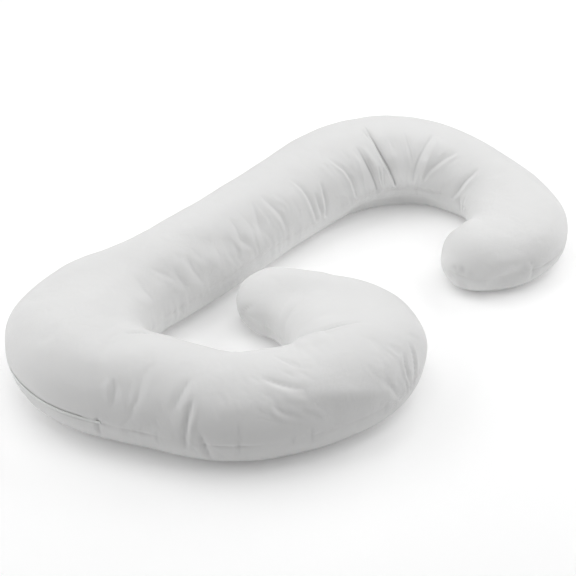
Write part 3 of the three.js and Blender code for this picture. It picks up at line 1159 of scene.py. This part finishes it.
@dataclass
class NodeBoard:
    """A small helper that adds nodes to a tree and joins them."""

    tree: bpy.types.NodeTree

    def add(self, kind: str, **values: object) -> bpy.types.Node:
        """Adds a node and sets its plain properties.

        Args:
            kind: Blender's name for the node.
            **values: Properties of the node.

        Returns:
            The node.
        """
        node = self.tree.nodes.new(kind)
        for name, value in values.items():
            setattr(node, name, value)
        return node

    def join(self, out: bpy.types.NodeSocket, into: bpy.types.NodeSocket) -> None:
        """Links one socket to another."""
        self.tree.links.new(out, into)

    def math(self, operation: str, first: object, second: object = 0.0) -> bpy.types.NodeSocket:
        """Adds a sum and returns its result.

        Args:
            operation: Blender's name for the operation.
            first: A socket or a number.
            second: A socket or a number.

        Returns:
            The result's socket.
        """
        node = self.add("ShaderNodeMath", operation=operation)
        for slot, value in zip(node.inputs, (first, second)):
            if isinstance(value, bpy.types.NodeSocket):
                self.join(value, slot)
            else:
                slot.default_value = float(value)
        return node.outputs[0]


def new_material(name: str) -> tuple[bpy.types.Material, NodeBoard, bpy.types.Node]:
    """Starts a material.

    Args:
        name: Its name.

    Returns:
        The material, its board and its shader.
    """
    made = bpy.data.materials.new(name)
    made.use_nodes = True
    return made, NodeBoard(made.node_tree), made.node_tree.nodes["Principled BSDF"]


def new_group(
    name: str, inputs: dict[str, str], outputs: dict[str, str]
) -> tuple[NodeBoard, dict[str, bpy.types.NodeSocket], dict[str, bpy.types.NodeSocket]]:
    """Starts a shader node group with named sockets.

    Args:
        name: The group's name.
        inputs: Socket types by name.
        outputs: Socket types by name.

    Returns:
        The board, the inner sockets of the inputs and those of the outputs.
    """
    tree = bpy.data.node_groups.new(name, "ShaderNodeTree")
    for label, kind in inputs.items():
        tree.interface.new_socket(name=label, in_out="INPUT", socket_type=kind)
    for label, kind in outputs.items():
        tree.interface.new_socket(name=label, in_out="OUTPUT", socket_type=kind)
    board = NodeBoard(tree)
    start, end = board.add("NodeGroupInput"), board.add("NodeGroupOutput")
    return board, {s.name: s for s in start.outputs}, {s.name: s for s in end.inputs}


def thread_group() -> bpy.types.NodeTree:
    """The plain weave: threads that pass over and under each other.

    Returns:
        A group with inputs Place and Threads per Metre, and outputs Height and Gap.
    """
    name = "plain_weave"
    if name in bpy.data.node_groups:
        return bpy.data.node_groups[name]
    number = "NodeSocketFloat"
    board, given, made = new_group(
        name,
        {"Place": "NodeSocketVector", "Threads per Metre": number},
        {"Height": number, "Gap": number},
    )
    split = board.add("ShaderNodeSeparateXYZ")
    board.join(given["Place"], split.inputs[0])
    along = board.math("MULTIPLY", split.outputs["X"], given["Threads per Metre"])
    about = board.math("MULTIPLY", split.outputs["Y"], given["Threads per Metre"])
    warp = board.math("ABSOLUTE", board.math("SINE", board.math("MULTIPLY", along, math.pi)))
    weft = board.math("ABSOLUTE", board.math("SINE", board.math("MULTIPLY", about, math.pi)))
    cells = board.math("ADD", board.math("FLOOR", along), board.math("FLOOR", about))
    over = board.math("PINGPONG", cells, 1.0)
    under = board.math("SUBTRACT", 1.0, over)
    lifted = board.math("ADD", board.math("MULTIPLY", warp, over), board.math("MULTIPLY", weft, under))
    board.join(lifted, made["Height"])
    board.join(board.math("SUBTRACT", 1.0, board.math("MAXIMUM", warp, weft)), made["Gap"])
    return board.tree


def crumple_group() -> bpy.types.NodeTree:
    """Fine soft crumples of thin cloth, too small for the mesh.

    Returns:
        A group with inputs Place and Size, and outputs Height and Patch.
    """
    name = "soft_crumple"
    if name in bpy.data.node_groups:
        return bpy.data.node_groups[name]
    number = "NodeSocketFloat"
    board, given, made = new_group(
        name,
        {"Place": "NodeSocketVector", "Size": number},
        {"Height": number, "Patch": number},
    )
    scale = board.math("DIVIDE", 1.0, given["Size"])
    wide = board.add("ShaderNodeTexNoise")
    wide.inputs["Detail"].default_value = 3.0
    wide.inputs["Distortion"].default_value = 0.6
    board.join(given["Place"], wide.inputs["Vector"])
    board.join(scale, wide.inputs["Scale"])
    fine = board.add("ShaderNodeTexNoise")
    fine.inputs["Detail"].default_value = 2.0
    board.join(given["Place"], fine.inputs["Vector"])
    board.join(board.math("MULTIPLY", scale, 3.1), fine.inputs["Scale"])
    ridge = board.math("ABSOLUTE", board.math("SUBTRACT", wide.outputs["Fac"], 0.5))
    broad = board.math("MULTIPLY", ridge, 1.4)
    small = board.math("MULTIPLY", fine.outputs["Fac"], 0.35)
    board.join(board.math("ADD", broad, small), made["Height"])
    board.join(wide.outputs["Fac"], made["Patch"])
    return board.tree


def add_group(board: NodeBoard, group: bpy.types.NodeTree, **values: float) -> bpy.types.Node:
    """Places a group in a material.

    Args:
        board: The material's board.
        group: The group to place.
        **values: Numbers for its inputs, with _ for each space.

    Returns:
        The group's node.
    """
    node = board.add("ShaderNodeGroup", node_tree=group)
    for name, value in values.items():
        node.inputs[name.replace("_", " ")].default_value = value
    return node


@dataclass(frozen=True)
class CottonFinish:
    """White plain-weave cotton: matt, slightly downy, the faintest crumple, painted shade in thread gaps and
    creases.
    """

    colour: tuple[float, float, float] = (0.78, 0.78, 0.775)
    # The second colour, reached in random patches of tone and, as painted shade, in the low gaps between
    # threads.
    shade: tuple[float, float, float] = (0.75, 0.75, 0.748)
    # The dark grey that the painted shade in the creases mixes towards, and by crease_shade how far.
    crease_shadow_colour: tuple[float, float, float] = (0.3, 0.3, 0.31)
    roughness: float = 0.9
    sheen: float = 0.4
    sheen_roughness: float = 0.5
    threads: float = 2400.0
    weave_depth: float = 0.00008
    crumple_size: float = 0.035
    crumple_depth: float = 0.0009
    crease_shade: float = 0.5

    def material(self, name: str) -> bpy.types.Material:
        """Makes the material.

        Args:
            name: Its name.

        Returns:
            The material.
        """
        made, board, shader = new_material(name)
        shader.inputs["Roughness"].default_value = self.roughness
        shader.inputs["Sheen Weight"].default_value = self.sheen
        shader.inputs["Sheen Roughness"].default_value = self.sheen_roughness
        uv = board.add("ShaderNodeUVMap", uv_map="cloth")
        place = board.add("ShaderNodeTexCoord")
        weave = add_group(board, thread_group(), Threads_per_Metre=self.threads)
        board.join(uv.outputs[0], weave.inputs["Place"])
        crumple = add_group(board, crumple_group(), Size=self.crumple_size)
        board.join(place.outputs["Object"], crumple.inputs["Place"])
        mix = board.add("ShaderNodeMix", data_type="RGBA")
        mix.inputs["A"].default_value = (*self.colour, 1)
        mix.inputs["B"].default_value = (*self.shade, 1)
        # Half random tone from the crumple's patches, half painted shade in the gaps between threads.
        tone_and_gap_shade = board.math("ADD", board.math("MULTIPLY", crumple.outputs["Patch"], 0.5),
                          board.math("MULTIPLY", weave.outputs["Gap"], 0.5))
        board.join(tone_and_gap_shade, mix.inputs["Factor"])
        # Painted shade: the colour is darkened towards a dark grey in the creases, by the crease attribute.
        crease = board.add("ShaderNodeAttribute", attribute_name="crease")
        painted_shade = board.add("ShaderNodeMix", data_type="RGBA")
        depth = board.math("MULTIPLY", crease.outputs["Fac"], self.crease_shade)
        board.join(depth, painted_shade.inputs["Factor"])
        board.join(mix.outputs["Result"], painted_shade.inputs["A"])
        painted_shade.inputs["B"].default_value = (*self.crease_shadow_colour, 1)
        board.join(painted_shade.outputs["Result"], shader.inputs["Base Color"])
        soft = board.add("ShaderNodeBump")
        soft.inputs["Distance"].default_value = self.crumple_depth
        board.join(crumple.outputs["Height"], soft.inputs["Height"])
        threads = board.add("ShaderNodeBump")
        threads.inputs["Distance"].default_value = self.weave_depth
        board.join(weave.outputs["Height"], threads.inputs["Height"])
        board.join(soft.outputs["Normal"], threads.inputs["Normal"])
        board.join(threads.outputs["Normal"], shader.inputs["Normal"])
        return made


@dataclass(frozen=True)
class TeethFinish:
    """Moulded coil teeth: satin plastic, worn a little darker and rougher in patches."""

    colour: tuple[float, float, float] = (0.86, 0.87, 0.86)
    roughness: float = 0.42
    wear_size: float = 0.004
    wear_colour_left: float = 0.9
    wear_roughness: float = 0.1

    def material(self, name: str) -> bpy.types.Material:
        """Makes the material.

        Args:
            name: Its name.

        Returns:
            The material.
        """
        made, board, shader = new_material(name)
        place = board.add("ShaderNodeTexCoord")
        wear = add_group(board, crumple_group(), Size=self.wear_size)
        board.join(place.outputs["Object"], wear.inputs["Place"])
        mix = board.add("ShaderNodeMix", data_type="RGBA")
        mix.inputs["A"].default_value = (*self.colour, 1)
        mix.inputs["B"].default_value = (*(self.wear_colour_left * c for c in self.colour), 1)
        board.join(wear.outputs["Patch"], mix.inputs["Factor"])
        board.join(mix.outputs["Result"], shader.inputs["Base Color"])
        rougher = board.math("MULTIPLY", wear.outputs["Patch"], self.wear_roughness)
        board.join(board.math("ADD", self.roughness, rougher), shader.inputs["Roughness"])
        return made


@dataclass
class Zip:
    """The zip in the rim seam: a woven tape and a closed row of coil teeth, in millimetres.

    tape_inside and coil_inside are steps in from the rim to the outer face. The tape runs on under
    the cloth for tape_past at each end, and the coil stops coil_short before it. row_off, loop_half
    and loop_depth are shares of the coil's half width and thickness: how far each row's middle is
    off the coil's, and how high and deep its loops are.
    """

    tube: Tube
    start: float = ZIP_START
    end: float = ZIP_END
    tape_inside: float = 0.3
    tape_thick: float = 2.0
    tape_half: float = 4.0
    tape_past: float = 5.0
    coil_inside: float = -0.2
    coil_half: float = 1.9
    coil_thick: float = 1.5
    coil_short: float = 6.0
    row_off: float = 0.46
    loop_half: float = 0.62
    loop_depth: float = 0.32
    loop_points: int = 8
    pitch: float = 1.5
    wire: float = 0.32
    wire_sides: int = 5
    tape_rings: int = 264
    tape_sides: int = 16

    def rim(self, at: np.ndarray, inside: np.ndarray | float, up: np.ndarray | float) -> np.ndarray:
        """Places beside the outer rim.

        Args:
            at: Distances along the middle line.
            inside: Steps in from the rim.
            up: Steps up from the seam.

        Returns:
            Rows of x, y and z in metres, in the part's frame.
        """
        edge = self.tube.points(at, np.full(len(at), math.pi))
        outward = self.tube.outward(at, np.full(len(at), math.pi))
        outward[:, 2] = 0
        outward /= np.linalg.norm(outward, axis=1, keepdims=True)
        edge = edge - outward * np.reshape(inside, (-1, 1))
        edge[:, 2] = self.tube.seam_height(at) + up
        return self.tube.fitted(edge)

    def tape_mesh(self) -> bpy.types.Mesh:
        """Makes the tape.

        Returns:
            A thin strip with rounded edges.
        """
        corners = []
        for k in range(self.tape_sides):
            angle = k / self.tape_sides * 2 * math.pi
            corners.append((
                self.tape_inside - self.tape_thick / 2 * (1 + math.sin(angle)),
                self.tape_half * math.copysign(abs(math.cos(angle)) ** 0.4, math.cos(angle)),
            ))
        at = np.linspace(self.start - self.tape_past, self.end + self.tape_past, self.tape_rings)
        return swept_skin("zip_tape", np.stack([self.rim(at, inside, up) for inside, up in corners], 1))

    def coil_mesh(self) -> bpy.types.Mesh:
        """Makes the coil.

        Returns:
            Two rows of slanted loops of wire that meet along the middle.
        """
        turns = int((self.end - self.start - 2 * self.coil_short) / self.pitch)
        around = np.arange(self.wire_sides) / self.wire_sides * 2 * math.pi
        all_points, all_faces = [], []
        for row in (-1, 1):
            share = np.linspace(0, 1, turns * self.loop_points + 1)
            angle = share * turns * 2 * math.pi + (math.pi if row > 0 else 0)
            at = self.start + self.coil_short + share * turns * self.pitch
            up = row * self.coil_half * self.row_off + self.coil_half * self.loop_half * np.cos(angle)
            deep = self.coil_thick * self.loop_depth * np.sin(angle)
            inside = self.coil_inside - self.coil_thick / 2 + deep
            line = self.rim(at, inside, up)
            ahead = np.gradient(line, axis=0)
            ahead /= np.linalg.norm(ahead, axis=1, keepdims=True)
            sideways = np.cross(ahead, np.array([0.0, 0.0, 1.0]))
            sideways /= np.maximum(np.linalg.norm(sideways, axis=1, keepdims=True), 1e-9)
            upward = np.cross(sideways, ahead)
            rings = (
                line[:, None]
                + self.wire * MM * np.cos(around)[None, :, None] * sideways[:, None]
                - self.wire * MM * np.sin(around)[None, :, None] * upward[:, None]
            )
            points, faces = swept_parts(rings, len(all_points))
            all_points.extend(points)
            all_faces.extend(faces)
        return smooth_mesh("zip_coil", all_points, all_faces)

    def build(self, tape: CottonFinish, teeth: TeethFinish) -> list[bpy.types.Object]:
        """Builds the tape and the coil in place of the plain strips.

        Args:
            tape: Finish of the tape.
            teeth: Finish of the teeth.

        Returns:
            The two pieces.
        """
        made = []
        for name, mesh, finish, slot in (
            ("zip_woven_tape", self.tape_mesh(), tape.material("zip_tape_cloth"), Slot.ZIP_TAPE),
            ("zip_coil_teeth", self.coil_mesh(), teeth.material("zip_teeth_plastic"), Slot.ZIP_TEETH),
        ):
            piece = placed(name, mesh)
            piece.data.materials.append(finish)
            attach(piece, BODY)
            made.append(piece)
        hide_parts("zip_tape")
        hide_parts("zip_coil")
        return made


def swept_parts(rings: np.ndarray, offset: int) -> tuple[list, list]:
    """Points and faces of a closed tube through rings of points.

    Args:
        rings: Points by ring and place.
        offset: Number of the first point.

    Returns:
        The points and the faces, with a flat cap at each end.
    """
    rows, count = rings.shape[:2]
    faces: list[tuple[int, ...]] = []
    for i in range(rows - 1):
        a, b = offset + i * count, offset + (i + 1) * count
        faces.extend((a + j, a + (j + 1) % count, b + (j + 1) % count, b + j) for j in range(count))
    faces.append(tuple(offset + j for j in reversed(range(count))))
    faces.append(tuple(offset + (rows - 1) * count + j for j in range(count)))
    return rings.reshape(-1, 3).tolist(), faces


def swept_skin(name: str, rings: np.ndarray) -> bpy.types.Mesh:
    """A closed tube through rings of points, with a UV map in metres.

    Args:
        name: The mesh's name.
        rings: Points by ring and place.

    Returns:
        The mesh.
    """
    made = smooth_mesh(name, *swept_parts(rings, 0))
    along = np.r_[0, np.cumsum(np.linalg.norm(np.diff(rings[:, 0], axis=0), axis=1))]
    flat = np.stack([np.repeat(along, rings.shape[1]), rings[..., 2].ravel()], -1)
    made.uv_layers.new(name="cloth").data.foreach_set("uv", flat[corner_points(made)].ravel())
    return made


@dataclass(frozen=True)
class SoftLight:
    """One large studio light."""

    name: str
    place: tuple[float, float, float]
    size: float
    power: float


@dataclass
class Studio:
    """A pale floor that glows faintly, soft panels all round and the photograph's camera."""

    image_side: int = 576
    sensor: float = 36.0
    focal_pixels: float = 1390.0
    stand: tuple[float, float, float] = (1.7427, -1.8151, 2.1687)
    azimuth: float = 45.0
    elevation: float = 40.0
    floor_side: float = 30.0
    floor_drop: float = 0.0005
    floor_roughness: float = 0.9
    floor_colour: tuple[float, float, float] = (0.97, 0.97, 0.97)
    floor_glow: float = 0.1
    surround: float = 0.01
    lights: tuple[SoftLight, ...] = (
        SoftLight("top_panel", (0.0, 0.0, 3.4), 2.6, 33.0),
        SoftLight("high_right_panel", (1.7, 0.0, 2.94), 2.6, 15.0),
        SoftLight("high_left_panel", (-1.7, 0.0, 2.94), 2.6, 21.0),
        SoftLight("right_panel", (2.04, 2.04, 1.8), 2.6, 30.0),
        SoftLight("far_right_panel", (0.0, 2.88, 1.8), 2.6, 42.0),
        SoftLight("far_left_panel", (-2.88, 0.0, 1.8), 2.6, 13.0),
        SoftLight("left_panel", (-2.04, -2.04, 1.8), 2.6, 40.0),
        SoftLight("near_left_panel", (0.0, -2.88, 1.8), 2.6, 10.0),
    )

    def camera(self) -> None:
        """Stands the camera where the photograph was taken."""
        data = bpy.data.cameras.new("camera")
        data.sensor_width = self.sensor
        data.lens = self.focal_pixels * self.sensor / self.image_side
        made = placed("camera", data)
        made.location = self.stand
        made.rotation_euler = (math.radians(90 - self.elevation), 0, math.radians(self.azimuth))
        bpy.context.scene.camera = made

    def floor(self) -> None:
        """Lays the plain pale floor."""
        half = self.floor_side / 2
        corners = [(-half, -half, 0), (half, -half, 0), (half, half, 0), (-half, half, 0)]
        data = bpy.data.meshes.new("floor")
        data.from_pydata(corners, [], [(0, 1, 2, 3)])
        made = placed("floor", data)
        paint, _, shader = new_material("pale_floor")
        shader.inputs["Base Color"].default_value = (*self.floor_colour, 1)
        shader.inputs["Roughness"].default_value = self.floor_roughness
        shader.inputs["Emission Color"].default_value = (1, 1, 1, 1)
        shader.inputs["Emission Strength"].default_value = self.floor_glow
        data.materials.append(paint)
        made.location.z = -self.floor_drop

    def light(self) -> None:
        """Hangs the soft lights and sets the plain surround."""
        world = bpy.data.worlds.new("surround")
        world.use_nodes = True
        world.node_tree.nodes["Background"].inputs["Color"].default_value = (1, 1, 1, 1)
        world.node_tree.nodes["Background"].inputs["Strength"].default_value = self.surround
        bpy.context.scene.world = world
        for light in self.lights:
            data = bpy.data.lights.new(light.name, "AREA")
            data.shape = "SQUARE"
            data.size = light.size
            data.energy = light.power
            made = placed(light.name, data)
            made.location = light.place
            made.rotation_euler = Vector(light.place).to_track_quat("Z", "Y").to_euler()

    def build(self) -> None:
        """Sets up the camera, the floor and the light."""
        self.camera()
        self.floor()
        self.light()
        bpy.context.scene.view_settings.view_transform = "Standard"


def main() -> None:
    """Builds every piece in order and reports it."""
    logging.basicConfig(level=logging.INFO, format="%(name)s: %(message)s")
    tube = Tube()
    LOG.info("middle line %.0f mm long", tube.length)
    relief = Relief(tube)
    cover = Cover(tube, relief, ClothRun(tube)).build(CottonFinish())
    LOG.info("cover: %d faces", len(cover.data.polygons))
    tape_finish = CottonFinish(
        colour=(0.84, 0.85, 0.84), shade=(0.78, 0.79, 0.78), threads=1800.0, sheen=0.0
    )
    for piece in Zip(tube).build(tape_finish, TeethFinish()):
        LOG.info("%s: %d faces", piece.name, len(piece.data.polygons))
    Studio().build()
    LOG.info("studio ready")


if __name__ == "__main__":
    main()
